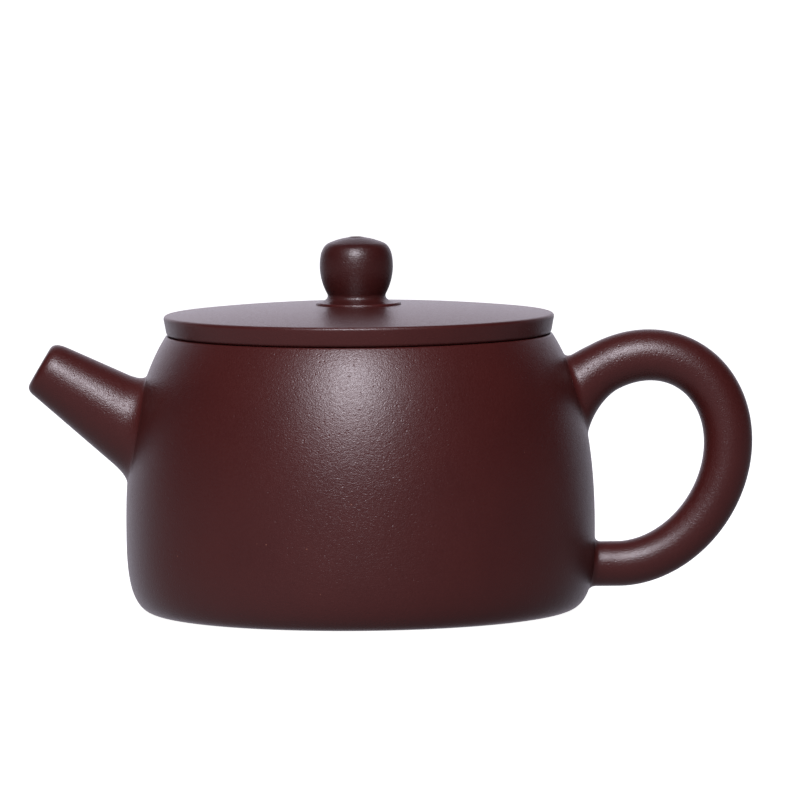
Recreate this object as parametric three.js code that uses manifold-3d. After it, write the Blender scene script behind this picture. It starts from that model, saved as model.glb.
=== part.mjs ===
// Hand-built unglazed clay teapot: a low straight-sided pot with a flat press-over lid, a straight
// cone spout and a round-section ear handle. Millimetres, +Z up, standing on z = 0, axis on Z,
// spout towards -X, handle towards +X.
import * as THREE from "three";
import { ParametricGeometry } from "three/addons/geometries/ParametricGeometry.js";
import { mergeVertices } from "three/addons/utils/BufferGeometryUtils.js";
import Module from "manifold-3d";

const wasm = await Module();
wasm.setup();

// ---- Driving dimensions -------------------------------------------------------------------

const GAP = 0.3; // hairline between two luted pieces
const WALL = 3; // beaten slab
const RING_SIDES = 64; // facets round the large turned pieces
const KNOB_SIDES = 32;

const BELLY = { r: 48.05, z: 17.4 }; // widest circle of the wall
const FOOT = { r: 40.7, power: 3 }; // edge of the flat underside, squareness of the corner above it
const SHOULDER = { width: 24.6, height: 49, power: 2.23 }; // superellipse from the belly upwards
const FLOOR = { r: 37, thickness: 3 };

const RIM = { z: 56.7, thickness: 3, bore: 34, edge: 0.3 };
const LID = { r: 40.1, base: RIM.z + GAP, edge: 60.8, rise: 1.6, power: 3.3, seamR: 38.5 };
const FLANGE = { r: RIM.bore - 0.45, thickness: 2.4, bottom: 47.5 };
const UNDERSIDE_RISE = 1.9; // how far the lid is hollowed inside its flange
const VENT_R = 0.9;

const SEAT = { r: 8.75, bottom: 62.5, top: 63.3, edge: 0.35 };
const KNOB = { r: 7.47, waistZ: 71.1, neckZ: 64.6, footR: 6.4, bottom: SEAT.top + GAP, top: 76.8 };
const KNOB_SIDE_ARC = 12.5; // radius of the arc from the widest circle down to the neck
const KNOB_CAP = { r: 5.4, z: 76.7, arc: 13 }; // the low dome on top, and the radius of its curve
const KNOB_SHOULDER = { cornerR: 6.75, cornerZ: 75.1, endR: 7.22, endZ: 73.5 };
const KNOB_OFFSET = -0.3; // along X: it was set by hand a little off the lid's centre
const VENT_LIP = { r: 1.25, depth: 0.6 }; // clay raised round the vent by the needle

const SPOUT = {
  tip: new THREE.Vector3(-65.3, 0, 50.9), // centre of the pouring face
  axisDrop: THREE.MathUtils.degToRad(32.9), // the axis below horizontal, going to the pot
  faceTurn: THREE.MathUtils.degToRad(30.9), // the pouring face's normal above horizontal
  tipR: 5.6,
  rootR: 9.3,
  length: 25,
  tipBore: 3.6,
  rootBore: 6.2,
};
const WALL_HOLE = { r: 6.8, z: 38.2 };
const STRAINER = { r: 9, thickness: 1.6, x: -42.6, holeR: 0.95, pitch: 20, rings: 3 };

const HANDLE = {
  centre: [55.98, 30.5], // of the tilted ellipse that the centreline follows, in X and Z
  halfWidth: 18.2,
  halfHeight: 22.4,
  tilt: -0.535,
  lowerAngle: THREE.MathUtils.degToRad(-64.3), // where the ellipse runs level, under the loop
  upperAngle: THREE.MathUtils.degToRad(165),
  stub: 8.5, // level run from there into the wall
  lowerR: 4.68,
  upperR: 5.35,
  flareFrom: 0.84, // share of the length after which the upper root flares
  flare: 2.2,
};

// ---- Outlines -----------------------------------------------------------------------------

// Quarter superellipse: 0 at t = 0, 1 at t = 1, leaving steeply and arriving level.
const roundUp = (t, power) => Math.pow(1 - Math.pow(1 - t, power), 1 / power);
const spaced = (from, to, steps) =>
  Array.from({ length: steps + 1 }, (_, i) => from + ((to - from) * i) / steps);

function wallRadius(z) {
  if (z < BELLY.z) return FOOT.r + (BELLY.r - FOOT.r) * roundUp(Math.max(z, 0) / BELLY.z, FOOT.power);
  const rise = (z - BELLY.z) / SHOULDER.height;
  return BELLY.r - SHOULDER.width * (1 - roundUp(1 - rise, SHOULDER.power));
}

// The cavity keeps the slab's thickness square to the wall, and has a rounded corner at the floor.
function cavityRadius(z) {
  if (z < BELLY.z) {
    const rise = Math.max(z - FLOOR.thickness, 0) / (BELLY.z - FLOOR.thickness);
    return FLOOR.r + GAP + (BELLY.r - WALL - FLOOR.r - GAP) * roundUp(rise, FOOT.power);
  }
  const slope = wallRadius(z + 0.5) - wallRadius(z - 0.5);
  return wallRadius(z) - WALL * Math.hypot(1, slope);
}

// Heights that crowd towards a round corner starting at `from`.
const cornerHeights = (from, to, steps) =>
  spaced(0, 1, steps).map((t) => from + (to - from) * (1 - Math.cos((t * Math.PI) / 2)));
const wallHeights = [...cornerHeights(0, BELLY.z, 7), ...spaced(24, RIM.z - RIM.thickness - GAP, 6)];
const cavityHeights = [
  ...cornerHeights(FLOOR.thickness, BELLY.z, 5),
  ...spaced(24, RIM.z - RIM.thickness - GAP, 5),
];

function arc(cx, cz, radius, fromDeg, toDeg, steps) {
  return spaced(fromDeg, toDeg, steps).map((deg) => {
    const a = THREE.MathUtils.degToRad(deg);
    return [cx + radius * Math.cos(a), cz + radius * Math.sin(a)];
  });
}

const lidTop = (r) => LID.edge + LID.rise * (1 - Math.pow(r / LID.r, LID.power));

// ---- Solids -------------------------------------------------------------------------------

// One closed solid from any three.js geometry, with its faces turned outwards.
function solid(geometry) {
  const plain = geometry.index ? geometry.toNonIndexed() : geometry.clone();
  plain.deleteAttribute("normal");
  plain.deleteAttribute("uv");
  const merged = mergeVertices(plain, 1e-4);
  const corners = [];
  for (let i = 0; i < merged.index.count; i += 3) {
    const [a, b, c] = [0, 1, 2].map((k) => merged.index.getX(i + k));
    if (a !== b && b !== c && a !== c) corners.push(a, b, c);
  }
  const build = (triangles) =>
    new wasm.Manifold(
      new wasm.Mesh({
        numProp: 3,
        vertProperties: new Float32Array(merged.attributes.position.array),
        triVerts: new Uint32Array(triangles),
      }),
    );
  const made = build(corners);
  return made.volume() < 0 ? build(corners.reverse()) : made;
}

function geometryOf(manifold) {
  const mesh = manifold.getMesh();
  const geometry = new THREE.BufferGeometry();
  geometry.setAttribute("position", new THREE.BufferAttribute(mesh.vertProperties, 3));
  geometry.setIndex(new THREE.BufferAttribute(mesh.triVerts, 1));
  geometry.computeVertexNormals();
  return geometry;
}

// A turned solid about Z. The outline is [r, z] pairs and is closed back to its first point.
function turned(outline, sides) {
  const points = [...outline, outline[0]].map(([r, z]) => new THREE.Vector2(r, z));
  return solid(new THREE.LatheGeometry(points, sides).rotateX(Math.PI / 2));
}

// A rod along X through the wall or a drill, placed by its centre.
function rodAlongX(r, length, x, z, sides) {
  const rod = new THREE.CylinderGeometry(r, r, length, sides).rotateZ(Math.PI / 2);
  return solid(rod.translate(x, 0, z));
}

// ---- The pot ------------------------------------------------------------------------------

function bodyWall() {
  const outside = wallHeights.map((z) => [wallRadius(z), z]);
  const inside = cavityHeights.map((z) => [cavityRadius(z), z]).reverse();
  const shell = turned([...outside, ...inside, [FLOOR.r + GAP, 0]], RING_SIDES);
  return shell.subtract(rodAlongX(WALL_HOLE.r, 20, -BELLY.r, WALL_HOLE.z, 32));
}

function baseDisc() {
  const { r, thickness } = FLOOR;
  return turned([[0, 0], [r, 0], [r, thickness - 0.4], [r - 0.4, thickness], [0, thickness]], RING_SIDES);
}

function mouthRing() {
  const { z, thickness, bore, edge } = RIM;
  const bottom = z - thickness;
  const outside = spaced(bottom, z - edge, 3).map((h) => [wallRadius(h), h]);
  const outerEdge = wallRadius(z) - edge;
  return turned(
    [[bore, bottom], ...outside, [outerEdge, z], [bore + edge, z], [bore, z - edge]],
    RING_SIDES,
  );
}

// Everything that the luted pieces lean on: the pot's outside, one hairline larger.
function potEnvelope() {
  const side = wallHeights.map((z) => [wallRadius(z) + GAP, z]);
  const top = [wallRadius(RIM.z) + GAP, RIM.z];
  return turned([[0, -GAP], [FOOT.r, -GAP], ...side.slice(1), top, [0, RIM.z]], RING_SIDES);
}

// ---- Spout and strainer -------------------------------------------------------------------

// The cone is turned about Z with its root at the origin, then laid along the spout's axis.
function spout(envelope) {
  const { tip, axisDrop, faceTurn, tipR, rootR, length, tipBore, rootBore } = SPOUT;
  const spare = 2;
  const outerSlope = (rootR - tipR) / length;
  const boreSlope = (rootBore - tipBore) / length;
  const outline = [
    [rootBore, 0],
    [rootR, 0],
    [tipR - outerSlope * spare, length + spare],
    [tipBore - boreSlope * spare, length + spare],
  ];
  const lay = new THREE.Matrix4().makeRotationY(axisDrop - Math.PI / 2);
  const root = new THREE.Vector3(0, 0, -length).applyMatrix4(lay).add(tip);
  lay.setPosition(root);
  const cutter = new THREE.BoxGeometry(8, 30, 30).translate(-4, 0, 0);
  cutter.applyMatrix4(new THREE.Matrix4().makeRotationY(faceTurn).setPosition(tip));
  return turned(outline, KNOB_SIDES).transform(lay.elements).subtract(solid(cutter)).subtract(envelope);
}

// A pierced dome luted over the wall's hole, inside the pot.
function ballStrainer() {
  const { r, thickness, x, holeR, pitch, rings } = STRAINER;
  const centre = [x, 0, WALL_HOLE.z];
  const ball = (radius) => solid(new THREE.SphereGeometry(radius, 20, 12).translate(...centre));
  const cavity = turned(
    [[0, 5], ...spaced(5, 52, 20).map((z) => [cavityRadius(z) - GAP, z]), [0, 52]],
    RING_SIDES,
  );
  let dome = ball(r).subtract(ball(r - thickness)).intersect(cavity);
  for (let ring = 0; ring < rings; ring++) {
    for (let i = 0; i < Math.max(1, ring * 6); i++) {
      const lean = THREE.MathUtils.degToRad(ring * pitch);
      const turn = ((i + 0.5 * (ring % 2)) / Math.max(1, ring * 6)) * 2 * Math.PI;
      const drill = new THREE.CylinderGeometry(holeR, holeR, r + 2, 8).translate(0, r / 2 + 1, 0);
      drill.rotateZ(-Math.PI / 2).rotateY(-lean).rotateX(turn).translate(...centre);
      dome = dome.subtract(solid(drill));
    }
  }
  return dome;
}

// ---- Handle -------------------------------------------------------------------------------

// A level stub out of the wall, then the tilted ellipse over to the upper root; s runs 0 to 1.
function handleCentre(s) {
  const { centre, halfWidth, halfHeight, tilt, lowerAngle, upperAngle, stub } = HANDLE;
  const stubShare = 0.09;
  const along = Math.max(0, (s - stubShare) / (1 - stubShare));
  const angle = lowerAngle + along * (upperAngle - lowerAngle);
  const u = halfWidth * Math.cos(angle);
  const v = halfHeight * Math.sin(angle);
  const x = centre[0] + u * Math.cos(tilt) - v * Math.sin(tilt);
  const z = centre[1] + u * Math.sin(tilt) + v * Math.cos(tilt);
  return new THREE.Vector3(x - stub * Math.max(0, 1 - s / stubShare), 0, z);
}

function handleRadius(s) {
  const { lowerR, upperR, flareFrom, flare } = HANDLE;
  const flared = Math.max(0, (s - flareFrom) / (1 - flareFrom));
  return lowerR + (upperR - lowerR) * s + flare * flared * flared;
}

function handle(envelope) {
  const steps = 44;
  const sides = 20;
  const round = (u, v, target) => {
    const s = THREE.MathUtils.clamp((u * (steps + 2) - 1) / steps, 0, 1);
    const capped = u === 0 || u === 1;
    const forward = handleCentre(Math.min(s + 0.01, 1)).sub(handleCentre(Math.max(s - 0.01, 0)));
    const outward = new THREE.Vector3(forward.z, 0, -forward.x).normalize();
    const angle = (v === 1 ? 0 : v) * 2 * Math.PI;
    const r = capped ? 0 : handleRadius(s);
    target.copy(handleCentre(s)).addScaledVector(outward, r * Math.cos(angle));
    target.y += r * Math.sin(angle);
  };
  return solid(new ParametricGeometry(round, steps + 2, sides)).subtract(envelope);
}

// ---- The lid ------------------------------------------------------------------------------

function lidPlate() {
  const { r, base, edge, seamR } = LID;
  const cornerR = 0.35;
  const side = [[seamR, base], [seamR + 0.6, base + 0.35], [r - 0.45, base + 1.4]];
  const topEdge = arc(r - cornerR, edge - cornerR, cornerR, 10, 90, 3);
  const crown = spaced(r - 3, SEAT.r + GAP, 6).map((radius) => [radius, lidTop(radius)]);
  const recess = SEAT.bottom - GAP;
  const hollowR = FLANGE.r - FLANGE.thickness - GAP;
  const hollow = spaced(0.1, 1, 4).map((t) => [
    hollowR * t,
    base + UNDERSIDE_RISE * (1 - t * t),
  ]);
  return turned(
    [...side, ...topEdge, ...crown, [SEAT.r + GAP, recess], [VENT_R, recess],
      [VENT_R, base + UNDERSIDE_RISE], ...hollow],
    RING_SIDES,
  );
}

function lidFlange() {
  const { r, thickness, bottom } = FLANGE;
  const top = LID.base - GAP;
  const inner = r - thickness;
  const edge = 0.6;
  return turned(
    [[inner, top], [inner, bottom + edge], [inner + edge, bottom], [r - edge, bottom],
      [r, bottom + edge], [r, top]],
    RING_SIDES,
  );
}

function knobSeat() {
  const { r, bottom, top, edge } = SEAT;
  return turned(
    [[VENT_R, bottom], [r - edge, bottom], [r, bottom + edge], [r, top - edge], [r - edge, top],
      [VENT_R, top]],
    KNOB_SIDES,
  );
}

function knob() {
  const { r, waistZ, neckZ, footR, bottom, top } = KNOB;
  const fromWaist = (z) => KNOB_SIDE_ARC - Math.sqrt(KNOB_SIDE_ARC ** 2 - (waistZ - z) ** 2);
  const side = spaced(neckZ, waistZ, 5).map((z) => [r - fromWaist(z), z]);
  const { cornerR, cornerZ, endR, endZ } = KNOB_SHOULDER;
  const capZ = (radius) => KNOB_CAP.z - radius ** 2 / (2 * KNOB_CAP.arc);
  const bend = new THREE.QuadraticBezierCurve(
    new THREE.Vector2(endR, endZ),
    new THREE.Vector2(cornerR, cornerZ),
    new THREE.Vector2(KNOB_CAP.r, capZ(KNOB_CAP.r)),
  );
  const shoulder = bend.getPoints(4).map((point) => point.toArray());
  const cap = [4, 2.6, 1.9].map((radius) => [radius, capZ(radius)]);
  const vent = [[VENT_LIP.r, top], [VENT_R, top - VENT_LIP.depth]];
  const outline = [[VENT_R, bottom], [footR, bottom], ...side, ...shoulder, ...cap, ...vent];
  return turned(outline, KNOB_SIDES).translate(KNOB_OFFSET, 0, 0);
}

// ---- Assembly -----------------------------------------------------------------------------

const clay = (color, roughness) => new THREE.MeshStandardMaterial({ color, roughness, metalness: 0 });
const burnished = clay(0x51302f, 0.5);
const plain = clay(0x4a2b2b, 0.75);

function piece(name, manifold, material) {
  const mesh = new THREE.Mesh(geometryOf(manifold), material);
  mesh.name = name;
  return mesh;
}

const envelope = potEnvelope();

const pot = new THREE.Group().add(
  piece("body_wall", bodyWall(), burnished),
  piece("base_disc", baseDisc(), plain),
  piece("mouth_ring", mouthRing(), burnished),
  piece("spout", spout(envelope), burnished),
  piece("ball_strainer", ballStrainer(), plain),
  piece("handle", handle(envelope), burnished),
);

const lid = new THREE.Group().add(
  piece("lid_plate", lidPlate(), burnished),
  piece("lid_flange", lidFlange(), plain),
  piece("knob_seat", knobSeat(), burnished),
  piece("knob", knob(), burnished),
);

export default new THREE.Group().add(pot, lid);
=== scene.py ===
import math

import bpy
import numpy as np
from mathutils import Matrix, Vector


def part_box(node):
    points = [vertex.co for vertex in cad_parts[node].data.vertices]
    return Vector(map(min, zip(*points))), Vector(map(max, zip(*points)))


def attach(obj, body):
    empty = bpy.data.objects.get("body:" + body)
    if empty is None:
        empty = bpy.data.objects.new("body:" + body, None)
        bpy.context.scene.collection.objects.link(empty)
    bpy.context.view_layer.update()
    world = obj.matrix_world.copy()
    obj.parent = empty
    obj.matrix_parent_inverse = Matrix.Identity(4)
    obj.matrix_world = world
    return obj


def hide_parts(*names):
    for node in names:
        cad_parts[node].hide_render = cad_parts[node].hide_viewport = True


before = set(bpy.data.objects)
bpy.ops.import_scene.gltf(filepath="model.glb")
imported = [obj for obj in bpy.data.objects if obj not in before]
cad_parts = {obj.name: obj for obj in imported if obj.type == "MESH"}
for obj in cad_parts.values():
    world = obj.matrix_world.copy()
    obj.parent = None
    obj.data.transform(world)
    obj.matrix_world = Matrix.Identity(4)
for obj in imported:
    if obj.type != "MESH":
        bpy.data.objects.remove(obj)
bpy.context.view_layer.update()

# ---------------------------------------------------------------------------------------------
# Body wall. A slab of purple-brown stoneware clay, beaten out 3 mm thick, stood up on edge and
# beaten in at the top and bottom until it is one low swelling drum. It is scraped, then burnished
# with a horn tool before firing, so the outside is satin and the inside stays matt.
MM = 0.001
ROUND = 256              # columns round the pot's axis
WALL = 3.0
belly_r, belly_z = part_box("body_wall")[1].x / MM, 17.4
foot_r = 40.7
rim_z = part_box("mouth_ring")[1].z / MM
seam_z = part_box("body_wall")[1].z / MM       # where the mouth ring is luted on
floor_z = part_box("base_disc")[1].z / MM
disc_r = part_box("base_disc")[1].x / MM
SHOULDER_WIDTH, SHOULDER_HEIGHT, SHOULDER_POWER = 24.6, 49.0, 2.23
CORNER_POWER = 3.0
CREASE = math.radians(38)                    # edges sharper than this stay sharp


def round_up(t, power):
    """Quarter superellipse: 0 at t = 0, leaving steeply, and 1 at t = 1, arriving level."""
    return (1 - (1 - np.clip(t, 0, 1)) ** power) ** (1 / power)


def wall_radius(z):
    """Outside radius at height z: a squarish rounded corner up to the belly, then a long quarter
    superellipse that leans in more and more towards the mouth."""
    z = np.asarray(z, float)
    corner = foot_r + (belly_r - foot_r) * round_up(z / belly_z, CORNER_POWER)
    fall = 1 - round_up(1 - np.clip((z - belly_z) / SHOULDER_HEIGHT, 0, 1), SHOULDER_POWER)
    return np.where(z < belly_z, corner, belly_r - SHOULDER_WIDTH * fall)


def cavity_radius(z):
    """Inside radius: the outside less the slab's thickness square to the wall, and a rounded
    corner of the same kind where the wall meets the floor."""
    slope = wall_radius(z + 0.5) - wall_radius(z - 0.5)
    side = wall_radius(z) - WALL * np.hypot(1, slope)
    rise = round_up((z - floor_z) / (belly_z - floor_z), CORNER_POWER)
    return np.where(z < belly_z, disc_r + (belly_r - WALL - disc_r) * rise, side)


def skin(name, grid, slots, poles=False):
    """A mesh from a grid of points in millimetres: rows along the outline, columns round it.
    Columns close on themselves. Rows close too, or end in a point at each end with poles. slots
    gives each row's material number."""
    rows, columns = grid.shape[:2]
    index = np.arange(rows * columns).reshape(rows, columns)
    points = grid.reshape(-1, 3)
    if poles:
        top, bottom = rows * columns, rows * columns + 1
        points = np.vstack([points, grid[0].mean(0), grid[-1].mean(0)])
        index = np.vstack([np.full(columns, top), index, np.full(columns, bottom)])
        slots = np.concatenate([slots[:1], slots, slots[-1:]])
    else:
        index = np.vstack([index, index[:1]])
    here, right = index[:-1], np.roll(index, -1, axis=1)[:-1]
    up, up_right = index[1:], np.roll(index, -1, axis=1)[1:]
    low_half, high_half = np.stack([here, right, up_right], -1), np.stack([here, up_right, up], -1)
    faces = np.concatenate([low_half, high_half]).reshape(-1, 3)
    number = np.repeat(np.asarray(slots)[: len(here)], columns)
    number = np.concatenate([number, number])
    a, b, c = faces.T
    whole = (a != b) & (b != c) & (a != c)
    faces, number = faces[whole], number[whole]
    mesh = bpy.data.meshes.new(name)
    mesh.vertices.add(len(points))
    mesh.vertices.foreach_set("co", (points * MM).ravel())
    mesh.loops.add(faces.size)
    mesh.loops.foreach_set("vertex_index", faces.ravel())
    mesh.polygons.add(len(faces))
    mesh.polygons.foreach_set("loop_start", np.arange(0, faces.size, 3))
    mesh.polygons.foreach_set("material_index", number.astype(np.int32))
    mesh.update(calc_edges=True)
    mesh.validate()
    mesh.shade_smooth()
    mesh.set_sharp_from_angle(angle=CREASE)
    piece = bpy.data.objects.new(name, mesh)
    bpy.context.scene.collection.objects.link(piece)
    return piece


def turned(name, outline, slots=None, columns=ROUND, poles=False, centre_x=0.0):
    """A turned piece: the outline of (radius, height) points goes round an upright axis. The
    outline runs up the outside and down the inside, so that the faces look outwards."""
    outline = np.asarray(outline, float)
    turn = np.linspace(0, 2 * math.pi, columns, endpoint=False)
    grid = np.stack([
        centre_x + outline[:, :1] * np.cos(turn),
        outline[:, :1] * np.sin(turn),
        outline[:, 1:] + 0 * turn,
    ], -1)
    return skin(name, grid, np.zeros(len(outline), int) if slots is None else slots, poles=poles)


def from_hex(colour):
    """sRGB hex to linear RGBA."""
    values = np.array([int(colour[i:i + 2], 16) for i in (1, 3, 5)]) / 255
    linear = np.where(values <= 0.04045, values / 12.92, ((values + 0.055) / 1.055) ** 2.4)
    return (*linear, 1.0)


def add(tree, kind, inputs=None, **settings):
    """One node with its settings. An input is a plain value or another node's output."""
    node = tree.nodes.new(kind)
    for name, value in settings.items():
        setattr(node, name, value)
    for name, value in (inputs or {}).items():
        if isinstance(value, bpy.types.NodeSocket):
            tree.links.new(value, node.inputs[name])
        else:
            node.inputs[name].default_value = value
    return node


def per_mm(size):
    """The scale that gives a pattern features of about that many millimetres."""
    return 1 / (size * MM)


# Pattern sizes in millimetres. The sand in real clay is about 0.2 mm, too fine to show from where
# the camera stands, so nothing is drawn finer than 0.3 mm.
MOTTLE, RIPPLE, SAND, GRAIN, STROKE, PEEL = 11, 2.2, 0.9, 0.5, 0.38, 0.3
LIGHT_SAND = "#8a5a4a"
CLAY_IOR = 1.65          # the fired skin, closed up by the horn tool


def purple_clay(name, dark, light, roughness, grain_height, wiped=0.0):
    """Unglazed purple-brown stoneware. Its ground is a fine-grained clay with darker and lighter
    sand in it. To the eye it has a soft mottle, a rare light grain of sand, small open pits, and
    a pear-skin grain with short burnishing strokes that breaks up the satin highlight. wiped
    adds the level tool marks of a surface that was scraped and never burnished."""
    material = bpy.data.materials.new(name)
    material.use_nodes = True
    tree = material.node_tree
    tree.nodes.clear()
    place = add(tree, "ShaderNodeTexCoord").outputs["Object"]
    mottle = add(tree, "ShaderNodeTexNoise", {
        "Vector": place, "Scale": per_mm(MOTTLE), "Detail": 3.0})
    grain = add(tree, "ShaderNodeTexNoise", {
        "Vector": place, "Scale": per_mm(GRAIN), "Detail": 2.0, "Roughness": 0.6})
    sand = add(tree, "ShaderNodeTexVoronoi", {
        "Vector": place, "Scale": per_mm(SAND), "Randomness": 1.0})
    specks = add(tree, "ShaderNodeMapRange", {
        "Value": sand.outputs["Distance"], "From Min": 0.1, "From Max": 0.2,
        "To Min": 1.0, "To Max": 0.0})
    rare = add(tree, "ShaderNodeMath", {
        0: sand.outputs["Color"], 1: 0.95}, operation="GREATER_THAN")
    scarce = add(tree, "ShaderNodeMath", {
        0: sand.outputs["Color"], 1: 0.28}, operation="LESS_THAN")
    sandy = add(tree, "ShaderNodeMath", {
        0: specks.outputs[0], 1: rare.outputs[0]}, operation="MULTIPLY")
    patchy = add(tree, "ShaderNodeMapRange", {
        "Value": mottle.outputs["Fac"], "From Min": 0.3, "From Max": 0.7,
        "To Min": 0.2, "To Max": 0.8})
    grainy = add(tree, "ShaderNodeMapRange", {
        "Value": grain.outputs["Fac"], "From Min": 0.35, "From Max": 0.65,
        "To Min": -0.25, "To Max": 0.25})
    tone = add(tree, "ShaderNodeMath", {0: patchy.outputs[0], 1: grainy.outputs[0]}, use_clamp=True)
    ground = add(tree, "ShaderNodeMix", {
        0: tone.outputs[0], 6: from_hex(dark), 7: from_hex(light)}, data_type="RGBA")
    speckled = add(tree, "ShaderNodeMix", {
        0: sandy.outputs[0], 6: ground.outputs[2], 7: from_hex(LIGHT_SAND)}, data_type="RGBA")
    shine = add(tree, "ShaderNodeMapRange", {
        "Value": grain.outputs["Fac"], "From Min": 0.3, "From Max": 0.7,
        "To Min": roughness - 0.03, "To Max": roughness + 0.04})
    peel = add(tree, "ShaderNodeTexNoise", {
        "Vector": place, "Scale": per_mm(PEEL), "Detail": 2.0, "Roughness": 0.55})
    along = add(tree, "ShaderNodeMapping", {"Vector": place, "Scale": (0.5, 0.5, 1.0)})
    strokes = add(tree, "ShaderNodeTexNoise", {
        "Vector": along.outputs[0], "Scale": per_mm(STROKE), "Detail": 1.0, "Distortion": 1.5})
    wrinkle = add(tree, "ShaderNodeMath", {0: peel.outputs["Fac"], 1: strokes.outputs["Fac"]})
    hollow = add(tree, "ShaderNodeMapRange", {
        "Value": sand.outputs["Distance"], "From Min": 0.0, "From Max": 0.3,
        "To Min": -1.3, "To Max": 0.0})
    pits = add(tree, "ShaderNodeMath", {
        0: hollow.outputs[0], 1: scarce.outputs[0]}, operation="MULTIPLY")
    ripple = add(tree, "ShaderNodeTexNoise", {
        "Vector": place, "Scale": per_mm(RIPPLE), "Detail": 1.0})
    swells = add(tree, "ShaderNodeMath", {
        0: ripple.outputs["Fac"], 1: 0.5, 2: wrinkle.outputs[0]}, operation="MULTIPLY_ADD")
    height = add(tree, "ShaderNodeMath", {0: swells.outputs[0], 1: pits.outputs[0]})
    if wiped:
        squash = add(tree, "ShaderNodeMapping", {"Vector": place, "Scale": (0.08, 0.08, 1.0)})
        marks = add(tree, "ShaderNodeTexNoise", {
            "Vector": squash.outputs[0], "Scale": per_mm(SAND), "Detail": 4.0})
        level = add(tree, "ShaderNodeMath", {
            0: marks.outputs["Fac"], 1: wiped}, operation="MULTIPLY")
        height = add(tree, "ShaderNodeMath", {0: height.outputs[0], 1: level.outputs[0]})
    bump = add(tree, "ShaderNodeBump", {
        "Height": height.outputs[0], "Strength": 1.0, "Distance": grain_height * MM})
    clay = add(tree, "ShaderNodeBsdfPrincipled", {
        "Base Color": speckled.outputs[2], "Roughness": shine.outputs[0],
        "Normal": bump.outputs[0], "IOR": CLAY_IOR})
    add(tree, "ShaderNodeOutputMaterial", {"Surface": clay.outputs[0]})
    return material


burnished_clay = purple_clay("burnished purple clay", "#491a18", "#4f1e1b", 0.362, 0.04)
plain_clay = purple_clay("unburnished purple clay", "#522a26", "#653a33", 0.7, 0.06, wiped=0.7)
OUTSIDE, INSIDE = 0, 1


def finish(piece, body, slot, *nodes, outside=burnished_clay):
    """Gives a piece both faces of the clay, and tells the frame what it rides on and replaces."""
    piece.data.materials.append(outside)
    piece.data.materials.append(plain_clay)
    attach(piece, body)
    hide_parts(*nodes)


def cut(piece, drill):
    """Cuts the drill's solid out of the piece for good."""
    saw = piece.modifiers.new("cut", "BOOLEAN")
    saw.operation = "DIFFERENCE"
    saw.solver = "EXACT"
    saw.object = drill
    bpy.context.view_layer.update()
    whole = piece.evaluated_get(bpy.context.evaluated_depsgraph_get())
    mesh = bpy.data.meshes.new_from_object(whole)
    piece.modifiers.clear()
    old = piece.data
    piece.data = mesh
    mesh.name = old.name
    bpy.data.meshes.remove(old)
    bpy.data.objects.remove(drill)


THIN_ROW = 0.04          # a last thin row keeps the shading straight at a luted seam
corner = np.linspace(0, math.pi / 2, 40)
corner_r = foot_r + (belly_r - foot_r) * np.sin(corner) ** (2 / CORNER_POWER)
corner_z = belly_z * (1 - np.cos(corner) ** (2 / CORNER_POWER))
side_z = np.append(np.linspace(belly_z, seam_z - THIN_ROW, 48)[1:], seam_z)
inner_z = np.concatenate([
    np.linspace(seam_z, belly_z, 36),
    floor_z + (belly_z - floor_z) * (1 - np.linspace(0, 1, 24)[1:] ** 0.5)[:-1],
])
outer_line = np.vstack([
    np.stack([corner_r, corner_z], -1),
    np.stack([wall_radius(side_z), side_z], -1),
])
inner_line = np.stack([cavity_radius(inner_z), inner_z], -1)
FOOT_EDGE = 0.2          # the seam between wall and disc shows as a fine groove underneath
foot_line = [(disc_r, floor_z), (disc_r, FOOT_EDGE), (disc_r + FOOT_EDGE, 0.0)]
body_wall = turned(
    "body_wall_slab",
    np.vstack([outer_line, inner_line, foot_line]),
    np.array([OUTSIDE] * (len(outer_line) - 1) + [INSIDE] * (len(inner_line) + 1) + [OUTSIDE] * 3),
)


def rod(name, start, end, radius, sides=40):
    """A straight round drill from one point to another."""
    start, end = np.array(start, float), np.array(end, float)
    along = (end - start) / np.linalg.norm(end - start)
    across = np.cross(along, (0, 1, 0) if abs(along[1]) < 0.9 else (0, 0, 1))
    across /= np.linalg.norm(across)
    turn = np.linspace(0, 2 * math.pi, sides, endpoint=False)[:, None]
    ring = radius * (np.cos(turn) * across + np.sin(turn) * np.cross(along, across))
    return skin(name, np.stack([end + ring, start + ring]), [0, 0], poles=True)


hole_z, hole_r = 38.2, 6.8                   # the hole that the spout is luted over
DRILL_OUT, DRILL_IN = 4, 14                  # the drill starts outside the belly and ends inside
drill_start, drill_end = (-belly_r - DRILL_OUT, 0, hole_z), (-belly_r + DRILL_IN, 0, hole_z)
cut(body_wall, rod("wall_drill", drill_start, drill_end, hole_r))
finish(body_wall, "pot", "burnished_clay", "body_wall")

# ---------------------------------------------------------------------------------------------
# Base disc. A flat round of the same slab, luted inside the foot of the wall with slip and
# trimmed level, so the pot stands on the disc and the wall's edge together.
base_disc = turned(
    "base_disc_slab",
    [(disc_r - FOOT_EDGE, 0.0), (disc_r, FOOT_EDGE), (disc_r, floor_z), (disc_r - 6, floor_z),
     (0.5, floor_z)],
    np.array([OUTSIDE, OUTSIDE, INSIDE, INSIDE, INSIDE]),
    poles=True,
)
finish(base_disc, "pot", "burnished_clay", "base_disc")

# ---------------------------------------------------------------------------------------------
# Mouth ring. A disc luted on top of the wall, with the mouth cut out of it and the edge trimmed
# flush with the wall. Its flat top land carries the lid.
mouth_r = 34.0
RIM_ROUND, MOUTH_ROUND = 0.3, 0.6            # how far its rubbed edges run


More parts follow.
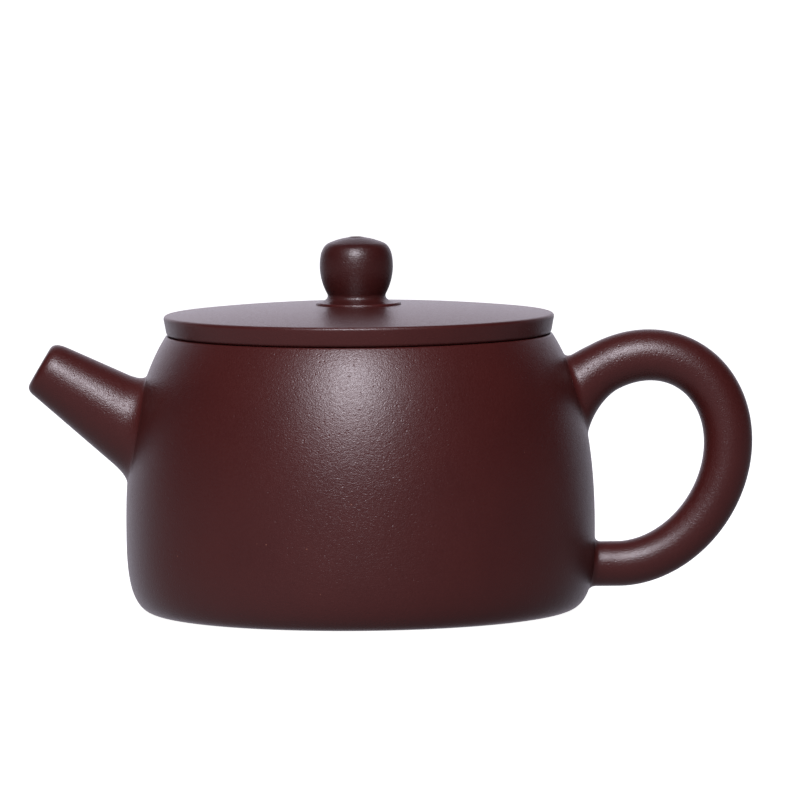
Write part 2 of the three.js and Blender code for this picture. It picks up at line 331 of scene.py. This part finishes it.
def rounded(points, radii, steps=6):
    """A closed outline with each corner replaced by a curve: it leaves the corner's radius before
    the corner and joins the next side as far after it, on a quadratic bend."""
    points = np.asarray(points, float)
    before, after = np.roll(points, 1, axis=0), np.roll(points, -1, axis=0)
    out = []
    for point, back, on, radius in zip(points, before, after, radii):
        if radius == 0:
            out.append(point[None])
            continue
        start = point + radius * (back - point) / np.linalg.norm(back - point)
        end = point + radius * (on - point) / np.linalg.norm(on - point)
        t = np.linspace(0, 1, steps)[:, None]
        out.append((1 - t) ** 2 * start + 2 * t * (1 - t) * point + t ** 2 * end)
    return np.vstack(out)


ring_z = np.array([seam_z, seam_z + THIN_ROW, *np.linspace(seam_z + 0.5, rim_z - 0.5, 5)])
ring_side = np.stack([wall_radius(ring_z), ring_z], -1)
ring_rest = [(wall_radius(rim_z), rim_z), (mouth_r, rim_z), (mouth_r, seam_z)]
ring_radii = [0] * len(ring_side) + [RIM_ROUND, MOUTH_ROUND, MOUTH_ROUND]
mouth_ring = turned("mouth_ring_disc", rounded(np.vstack([ring_side, ring_rest]), ring_radii))
finish(mouth_ring, "pot", "burnished_clay", "mouth_ring")

# ---------------------------------------------------------------------------------------------
# Spout. A straight cone, rolled round a tapered stick and cut across at the tip, where its edge
# is rubbed round. It is luted over the wall's hole, with the slip smoothed into a small hollow.
SPOUT_TURN = 128         # columns round the spout and the handle
tip = np.array([-65.3, 0.0, 50.9])
spout_drop = math.radians(32.9)
face_turn = math.radians(30.9)
TIP_R, TIP_BORE, TAPER, BORE_TAPER = 5.62, 3.7, 0.148, 0.1
spout_axis = np.array([math.cos(spout_drop), 0.0, -math.sin(spout_drop)])
spout_up = np.array([math.sin(spout_drop), 0.0, math.cos(spout_drop)])
sideways = np.array([0.0, 1.0, 0.0])
face_normal = np.array([-math.cos(face_turn), 0.0, math.sin(face_turn)])


def wall_normal(points):
    """The outward normal of the pot's wall below or above each point."""
    radius = np.hypot(points[..., 0], points[..., 1])
    slope = wall_radius(points[..., 2] + 0.05) - wall_radius(points[..., 2] - 0.05)
    normal = np.stack([points[..., 0] / radius, points[..., 1] / radius, -slope / 0.1], -1)
    return normal / np.linalg.norm(normal, axis=-1, keepdims=True)


def on_wall(points):
    """Each point moved level, in or out, onto the wall's outside."""
    radius = np.hypot(points[..., 0], points[..., 1])
    scale = wall_radius(points[..., 2]) / radius
    return np.stack([points[..., 0] * scale, points[..., 1] * scale, points[..., 2]], -1)


def meet_wall(tube, start, end):
    """For every column of a tube, the place along it where it goes into the wall, by halving."""
    near, far = np.broadcast_arrays(np.asarray(start, float), np.asarray(end, float))
    near, far = near.copy(), far.copy()
    for _ in range(40):
        middle = (near + far) / 2
        points = tube(middle)
        out = np.hypot(points[:, 0], points[:, 1]) > wall_radius(points[:, 2])
        near, far = np.where(out, middle, near), np.where(out, far, middle)
    return near


SKIRT = 0.7              # how far a luted piece goes into the wall
ROOT_PULL = 0.62         # how strongly the hollow of slip follows the tube, and then the wall


def luted_root(tube, hit, back, spread, rows=12):
    """The hollow of slip between a tube and the wall. Each column leaves the tube at back, swings
    out on a cubic bend, and lies down on the wall at the distance spread past the place where
    they meet. A skirt then goes into the wall. Rows run from the tube to the skirt."""
    meet, leave = tube(hit), tube(back)
    ahead = meet - leave
    normal = wall_normal(meet)
    centre = meet.mean(0)
    out = meet - centre
    out = out - (out * normal).sum(-1, keepdims=True) * normal
    out = out / np.linalg.norm(out, axis=-1, keepdims=True)
    foot = on_wall(meet + spread * out)
    foot_normal = wall_normal(foot)
    lie = out - (out * foot_normal).sum(-1, keepdims=True) * foot_normal
    lie = lie / np.linalg.norm(lie, axis=-1, keepdims=True)
    t = np.sort(np.append(np.linspace(0, 1, rows), 0.985))[:, None, None]    # a thin last row again
    along_tube = leave + ROOT_PULL * ahead
    along_wall = foot - ROOT_PULL * spread * lie
    swing = ((1 - t) ** 3 * leave + 3 * t * (1 - t) ** 2 * along_tube
             + 3 * t ** 2 * (1 - t) * along_wall + t ** 3 * foot)
    return np.concatenate([swing[1:], (foot - SKIRT * foot_normal)[None]])


def spout_tube(r_tip, taper, turn):
    """A cone round the spout's axis: a function of the distance from the tip for each column."""
    def tube(distance):
        radius = (r_tip + taper * distance)[..., None]
        across = np.cos(turn)[:, None] * spout_up + np.sin(turn)[:, None] * sideways
        return tip + distance[..., None] * spout_axis + radius * across
    return tube


def slanted_start(r_tip, taper, turn):
    """The distance at which each column of a cone meets the slanted pouring face."""
    lean = spout_up @ face_normal * np.cos(turn)
    return -r_tip * lean / (spout_axis @ face_normal + taper * lean)


turn = np.linspace(0, 2 * math.pi, SPOUT_TURN, endpoint=False)
outer = spout_tube(TIP_R, TAPER, turn)
bore = spout_tube(TIP_BORE, BORE_TAPER, turn)
outer_start = slanted_start(TIP_R, TAPER, turn)
bore_start = slanted_start(TIP_BORE, BORE_TAPER, turn)
PAST_WALL = 40           # a distance from the tip that is well inside the pot
outer_hit = meet_wall(outer, outer_start, PAST_WALL)
bore_hit = meet_wall(bore, bore_start, PAST_WALL)
ROOT_RUN, ROOT_SPREAD = 3.8, 1.5             # the slip's reach along the cone and over the wall
root_back = outer_hit - ROOT_RUN
lip_outer = 2.3 + 0.7 * np.cos(turn)         # how far the rubbed edge runs along the cone
LIP_FACE = 1.6                               # and across the pouring face
BORE_EDGE, BORE_FACE = 0.5, 0.35             # the same for the bore's edge


def bend(start, corner_point, end, rows):
    """A quadratic bend from start to end that rounds off the corner between them."""
    t = np.linspace(0, 1, rows)[:, None, None]
    return (1 - t) ** 2 * start + 2 * t * (1 - t) * corner_point + t ** 2 * end


def blend_rows(tube, start, end, rows):
    """Rows along a tube from one distance to another."""
    return np.stack([tube(start + (end - start) * share) for share in np.linspace(0, 1, rows)])


outer_corner, bore_corner = outer(outer_start), bore(bore_start)
face = outer_corner - bore_corner
face = face / np.linalg.norm(face, axis=-1, keepdims=True)
spout_grid = np.concatenate([
    bend(outer_corner - LIP_FACE * face, outer_corner, outer(outer_start + lip_outer), 10),
    blend_rows(outer, outer_start + lip_outer, root_back, 30)[1:],
    luted_root(outer, outer_hit, root_back, ROOT_SPREAD),
    blend_rows(bore, bore_hit + SKIRT, bore_start + BORE_EDGE, 20),
    bend(bore(bore_start + BORE_EDGE), bore_corner, bore_corner + BORE_FACE * face, 6)[1:],
])
spout = skin("spout_cone", spout_grid[::-1], np.zeros(len(spout_grid), int))
finish(spout, "pot", "burnished_clay", "spout")

# ---------------------------------------------------------------------------------------------
# Ball strainer. A dome pinched from a thin round of clay, pierced while soft with a hollow
# needle, and luted inside the wall over the spout's hole. It is never burnished.
BALL_R, BALL_WALL, BALL_REACH = 9.0, 1.6, math.radians(106)
NEEDLE_R, NEEDLE_ROWS, ROW_STEP = 0.95, 3, math.radians(20)
ball = np.array([-42.6, 0.0, hole_z])
lean = np.linspace(0, BALL_REACH, 40)
shell = np.concatenate([
    np.stack([BALL_R * np.cos(lean), BALL_R * np.sin(lean)], -1),
    np.stack([(BALL_R - BALL_WALL) * np.cos(lean), (BALL_R - BALL_WALL) * np.sin(lean)], -1)[::-1],
])
turn_ball = np.linspace(0, 2 * math.pi, 96, endpoint=False)
shell_grid = ball + np.stack([
    shell[:, :1] + 0 * turn_ball,
    shell[:, 1:] * np.cos(turn_ball),
    shell[:, 1:] * np.sin(turn_ball),
], -1)
shell_grid = shell_grid[1:-1]                # the two rows on the axis are the poles
strainer = skin("ball_strainer_dome", shell_grid, np.full(len(shell_grid), INSIDE), poles=True)
drills = []
for ring in range(NEEDLE_ROWS):
    count = max(1, ring * 6)
    for i in range(count):
        tilt = ring * ROW_STEP
        swing = (i + 0.5 * (ring % 2)) / count * 2 * math.pi
        level, upright = math.sin(tilt) * math.cos(swing), math.sin(tilt) * math.sin(swing)
        way = np.array([math.cos(tilt), level, upright])
        start, end = ball + (BALL_R - 5) * way, ball + (BALL_R + 2) * way
        drills.append(rod(f"needle_{ring}_{i}", start, end, NEEDLE_R, 20))
with bpy.context.temp_override(active_object=drills[0], selected_editable_objects=drills):
    bpy.ops.object.join()
cut(strainer, drills[0])
finish(strainer, "pot", "plain_clay", "ball_strainer")

# ---------------------------------------------------------------------------------------------
# Handle. A coil rolled round, thinner at one end, bent into an ear while soft and luted to the
# wall at both ends. Its centreline is a tilted ellipse, with a level run into the wall below.
ear_centre, ear_tilt = np.array([55.98, 30.5]), -0.535
EAR_WIDTH, EAR_HEIGHT = 18.36, 22.4
ear_low, ear_high = math.radians(-64.3), math.radians(178)
LEVEL_RUN = 9.0
COIL_R, COIL_GROWTH = 4.62, 0.86             # its radius below, and how much thicker it is above
ROOT_SWELL, SWELL_FROM, SWELL_OVER = 1.9, math.radians(143), math.radians(34)
SLIP_LOW, SLIP_HIGH = 1.1, 1.2               # how far the slip spreads on the wall


def ear_line(angle):
    """The centreline at an angle round the ellipse. Angles below the lowest point run level into
    the wall, a millimetre for each hundredth of a radian."""
    on_ellipse = np.maximum(angle, ear_low)
    u, v = EAR_WIDTH * np.cos(on_ellipse), EAR_HEIGHT * np.sin(on_ellipse)
    x = ear_centre[0] + u * math.cos(ear_tilt) - v * math.sin(ear_tilt)
    z = ear_centre[1] + u * math.sin(ear_tilt) + v * math.cos(ear_tilt)
    return np.stack([x - 100 * (on_ellipse - angle), 0 * x, z], -1)


def ear_tube(angle):
    """The coil's surface: its radius grows evenly from the lower end to the upper, and swells
    where the upper root spreads on the wall."""
    share = (angle - ear_low) / (ear_high - ear_low)
    swell = np.clip((angle - SWELL_FROM) / SWELL_OVER, 0, 1)
    radius = COIL_R + COIL_GROWTH * share + ROOT_SWELL * swell ** 1.4
    ahead = ear_line(angle + 0.002) - ear_line(angle - 0.002)
    ahead /= np.linalg.norm(ahead, axis=-1, keepdims=True)
    outward = np.stack([ahead[..., 2], 0 * ahead[..., 0], -ahead[..., 0]], -1)
    return (ear_line(angle) + (radius * np.cos(turn))[..., None] * outward
            + (radius * np.sin(turn))[..., None] * sideways)


level_start = np.full(SPOUT_TURN, ear_low - 0.005)
swell_start = np.full(SPOUT_TURN, math.radians(140))
lower_hit = meet_wall(ear_tube, level_start, ear_low - LEVEL_RUN / 100)
upper_hit = meet_wall(ear_tube, swell_start, ear_high)
lower_back, upper_back = lower_hit + 0.013, upper_hit - 0.07     # where the slip begins
ear_grid = np.concatenate([
    luted_root(ear_tube, lower_hit, lower_back, SLIP_LOW)[::-1],
    blend_rows(ear_tube, lower_back, upper_back, 160),
    luted_root(ear_tube, upper_hit, upper_back, SLIP_HIGH),
])
handle = skin("ear_handle", ear_grid, np.zeros(len(ear_grid), int), poles=True)
finish(handle, "pot", "burnished_clay", "handle")

# ---------------------------------------------------------------------------------------------
# Lid plate. A slab disc, pressed to a very flat crown, with a trimmed edge that leans in below.
# It sits on the mouth ring. The vent goes through its middle.
lid_low, lid_high = (np.array(c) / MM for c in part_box("lid_plate"))
lid_r, lid_z, edge_z = lid_high[0], lid_low[2], 60.8
rest_z = rim_z + 0.03    # the flat land that sits on the mouth ring
LAND_IN, LEAN_IN, LIFT = 1.6, 0.72, 0.12     # where the land ends and the leaning edge begins
CROWN, CROWN_POWER, VENT_R = 2.1, 2.2, 0.9
FLANGE_WALL, HOLLOW_RISE = 2.4, 1.9
flange_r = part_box("lid_flange")[1].x / MM
hollow_r = flange_r - FLANGE_WALL


def crown(r):
    """Height of the lid's top: level in the middle and falling off at the edge as a power."""
    return edge_z + CROWN * (1 - (r / lid_r) ** CROWN_POWER)


crown_r = (lid_r - 1) * (1 - np.linspace(0, 1, 40)[:-1] ** 1.3)
hollow_t = np.linspace(0.05, 1, 16)
plate_points = np.vstack([
    [(lid_r - LAND_IN, rest_z), (lid_r - LEAN_IN, lid_z - LIFT), (lid_r, edge_z)],
    np.stack([crown_r, crown(crown_r)], -1),
    [(VENT_R, crown(VENT_R)), (VENT_R, rest_z + HOLLOW_RISE)],
    np.stack([hollow_r * hollow_t, rest_z + HOLLOW_RISE * (1 - hollow_t ** 2)], -1),
])
LOW_EDGE, TOP_EDGE = 0.7, 0.8                # how far the rubbed edges run
plate_radii = [0, LOW_EDGE, TOP_EDGE] + [0] * (len(plate_points) - 3)
lid_outline = rounded(plate_points, plate_radii, 9)
shown = len(lid_outline) - len(hollow_t) - 1
lid_slots = np.array([OUTSIDE] * shown + [INSIDE] * (len(hollow_t) + 1))
lid_plate = turned("lid_plate_slab", lid_outline, lid_slots)
finish(lid_plate, "lid", "burnished_clay", "lid_plate")

# ---------------------------------------------------------------------------------------------
# Lid flange. A strip of slab bent into a ring and luted under the plate, scraped until it slides
# into the mouth. It takes the same burnished clay as the plate's top.
flange_z, FLANGE_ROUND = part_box("lid_flange")[0].z / MM, 0.8
lid_flange = turned(
    "lid_flange_ring",
    rounded(
        [(flange_r, flange_z), (flange_r, lid_z), (hollow_r, lid_z), (hollow_r, flange_z)],
        [FLANGE_ROUND, 0, 0, FLANGE_ROUND],
    ),
    columns=192,
)
finish(lid_flange, "lid", "plain_clay", "lid_flange")

# ---------------------------------------------------------------------------------------------
# Knob seat. A thin disc luted on the middle of the lid, its edge softened with a wet brush.
seat_r, seat_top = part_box("knob_seat")[1].x / MM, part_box("knob_seat")[1].z / MM
seat_foot = float(crown(seat_r)) - 0.05      # its edge dips a hair into the lid, as luted clay does
knob_seat = turned(
    "knob_seat_disc",
    rounded(
        [(seat_r - 0.25, seat_foot), (seat_r, seat_foot), (seat_r - 0.1, seat_top),
         (VENT_R, seat_top), (VENT_R, seat_foot)],
        [0, 0.12, 0.3, 0, 0],
    ),
    columns=128,
)
finish(knob_seat, "lid", "burnished_clay", "knob_seat")

# ---------------------------------------------------------------------------------------------
# Knob. A pellet of clay turned between the fingers to a flattened ball on a short neck, luted to
# its seat and pierced from the top, where the needle leaves a small dished mouth.
knob_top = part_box("knob")[1].z / MM
KNOB_R, KNOB_X = 7.5, -0.4                   # it was set by hand a little off the lid's centre
WAIST_Z, NECK_Z, SIDE_ARC = 70.8, 65.0, 11.9
SIDE_TOP = WAIST_Z + 2.4                     # above this the side turns in to the cap
CAP_Z, CAP_R, CAP_ARC = 76.7, 5.4, 13.0
SLIP_R = 8.0                                 # the slip round its neck runs out to here
bend_t = np.linspace(0, 1, 16)[:, None]


def curve(start, towards, end):
    """A quadratic bend between two outline points, pulled towards a third."""
    start, towards, end = np.array(start), np.array(towards), np.array(end)
    return (1 - bend_t) ** 2 * start + 2 * bend_t * (1 - bend_t) * towards + bend_t ** 2 * end


def knob_side_r(z):
    """The side: an arc of a circle on both sides of the widest height."""
    return KNOB_R - SIDE_ARC + np.sqrt(SIDE_ARC ** 2 - (WAIST_Z - z) ** 2)


def cap_z(r):
    """The low dome on top: a shallow parabola."""
    return CAP_Z - r ** 2 / (2 * CAP_ARC)


knob_z = np.linspace(NECK_Z, SIDE_TOP, 32)[1:-1]
cap_r = np.linspace(CAP_R, 1.9, 12)[1:]
knob = turned(
    "knob_pellet",
    np.vstack([
        curve((SLIP_R, seat_top), (5.6, seat_top + 0.4), (knob_side_r(NECK_Z), NECK_Z)),
        np.stack([knob_side_r(knob_z), knob_z], -1),
        curve((knob_side_r(SIDE_TOP), SIDE_TOP), (6.75, 75.1), (CAP_R, cap_z(CAP_R))),
        np.stack([cap_r, cap_z(cap_r)], -1),
        rounded(
            [(1.6, cap_z(1.6) + 0.02), (1.3, knob_top - 0.07), (VENT_R, knob_top - 0.5),
             (VENT_R, seat_top - 0.2), (SLIP_R, seat_top - 0.2)],
            [0, 0.12, 0.2, 0, 0],
        ),
    ]),
    columns=128,
    centre_x=KNOB_X,
)
# Painted shade: the whole knob takes a darker clay than the body, standing in for the shade on it.
knob_painted_shade_clay = purple_clay("purple clay painted darker as shade", "#3d1413", "#421815", 0.36, 0.04)
finish(knob, "lid", "burnished_clay", "knob", outside=knob_painted_shade_clay)

# ---------------------------------------------------------------------------------------------
# The studio: a plain white floor, one large soft light high in front of the pot, and a room that is
# dim in front and bright behind, which edges the dark clay with light.
softbox = bpy.data.lights.new("softbox", "AREA")
softbox.shape = "RECTANGLE"
softbox.size, softbox.size_y = 0.33, 0.46
softbox.energy = 8.6
softbox.color = (1.01, 0.965, 1.055)
lamp = bpy.data.objects.new("softbox", softbox)
bpy.context.scene.collection.objects.link(lamp)
LAMP_AT, POT_MIDDLE = Vector((-0.068, -0.769, 0.68)), Vector((0, 0, 0.045))
lamp.location = LAMP_AT
lamp.rotation_euler = (POT_MIDDLE - LAMP_AT).to_track_quat("-Z", "Y").to_euler()

# The room: behind rises from 0 at the sides to 1 straight behind the pot, and level from 0 below
# the horizon to 1 above it. Light from the table is warm in front, where the pot tinges it.
world = bpy.data.worlds.new("studio")
bpy.context.scene.world = world
world.use_nodes = True
sky = world.node_tree
sky.nodes.clear()
way = add(sky, "ShaderNodeSeparateXYZ", {0: add(sky, "ShaderNodeTexCoord").outputs["Generated"]})
facing = add(sky, "ShaderNodeMapRange", {
    "Value": way.outputs["Y"], "From Min": 0.38, "From Max": 1.0, "To Min": 0.0, "To Max": 1.0})
behind = add(sky, "ShaderNodeMath", {0: facing.outputs[0], 1: 2.4}, operation="POWER")
card_glow = add(sky, "ShaderNodeMath", {
    0: behind.outputs[0], 1: 1.85, 2: 0.03}, operation="MULTIPLY_ADD")
floor_glow = add(sky, "ShaderNodeMath", {
    0: behind.outputs[0], 1: 0.9, 2: 0.245}, operation="MULTIPLY_ADD")
level = add(sky, "ShaderNodeMapRange", {
    "Value": way.outputs["Z"], "From Min": -0.02, "From Max": 0.08, "To Min": 0.0, "To Max": 1.0})
seen = add(sky, "ShaderNodeMix", {
    0: level.outputs[0], 2: floor_glow.outputs[0], 3: card_glow.outputs[0]}, data_type="FLOAT")
left_right = add(sky, "ShaderNodeMapRange", {
    "Value": way.outputs["X"], "From Min": -0.6, "From Max": 0.6, "To Min": 1.0, "To Max": 0.6})
glow = add(sky, "ShaderNodeMath", {
    0: seen.outputs[0], 1: left_right.outputs[0]}, operation="MULTIPLY")
cool = add(sky, "ShaderNodeMath", {
    0: behind.outputs[0], 1: 4.0, 2: level.outputs[0]}, operation="MULTIPLY_ADD", use_clamp=True)
tint = add(sky, "ShaderNodeMix", {
    0: cool.outputs[0], 6: (1.3, 1.0, 1.09, 1.0), 7: (1.01, 0.97, 1.12, 1.0)}, data_type="RGBA")
haze = add(sky, "ShaderNodeBackground", {"Color": tint.outputs[2], "Strength": glow.outputs[0]})
add(sky, "ShaderNodeOutputWorld", {"Surface": haze.outputs[0]})

FLOOR, FLOOR_Z = 8, -5e-5                    # half its side, and a hair below the pot, in metres
floor_mesh = bpy.data.meshes.new("floor")
corners = [(FLOOR * x, FLOOR * y, FLOOR_Z) for x, y in ((-1, -1), (1, -1), (1, 1), (-1, 1))]
floor_mesh.from_pydata(corners, [], [(0, 1, 2, 3)])
floor = bpy.data.objects.new("floor", floor_mesh)
bpy.context.scene.collection.objects.link(floor)
paper = bpy.data.materials.new("white paper")
paper.use_nodes = True
sheet = paper.node_tree.nodes["Principled BSDF"]
sheet.inputs["Base Color"].default_value = from_hex("#f3f3f3")
sheet.inputs["Roughness"].default_value = 0.9
sheet.inputs["Emission Color"].default_value = (1, 1, 1, 1)
sheet.inputs["Emission Strength"].default_value = 1.0
floor_mesh.materials.append(paper)
floor.visible_diffuse = False                # the room's lower half lights the pot in its place
floor.visible_glossy = False

# The camera stands 1.8 m in front, a little above the lid, with a long lens and a slight roll.
DISTANCE, RISE, ROLL = 1.798, math.radians(4.92), 0.0091
FRAME_WIDTH = 0.164      # metres across the frame at the pot
LOOK_AT, AIM_RIGHT, AIM_UP = Vector((0, 0, 0.03)), 0.00818, 0.01314
back = Vector((0, -math.cos(RISE), math.sin(RISE)))
level_right, level_up = Vector((1, 0, 0)), Vector((0, math.sin(RISE), math.cos(RISE)))
right = level_right * math.cos(ROLL) - level_up * math.sin(ROLL)
up = level_right * math.sin(ROLL) + level_up * math.cos(ROLL)
stand = LOOK_AT + DISTANCE * back
aim = LOOK_AT + AIM_RIGHT * right + AIM_UP * up
camera_data = bpy.data.cameras.new("camera")
camera_data.lens = camera_data.sensor_width * DISTANCE / FRAME_WIDTH
camera_data.clip_start, camera_data.clip_end = 0.05, 50
camera = bpy.data.objects.new("camera", camera_data)
bpy.context.scene.collection.objects.link(camera)
look = (stand - aim).normalized()
side = up.cross(look).normalized()
axes = Matrix((side, look.cross(side), look)).transposed()
camera.matrix_world = Matrix.Translation(stand) @ axes.to_4x4()
bpy.context.scene.camera = camera
bpy.context.scene.view_settings.view_transform = "Standard"
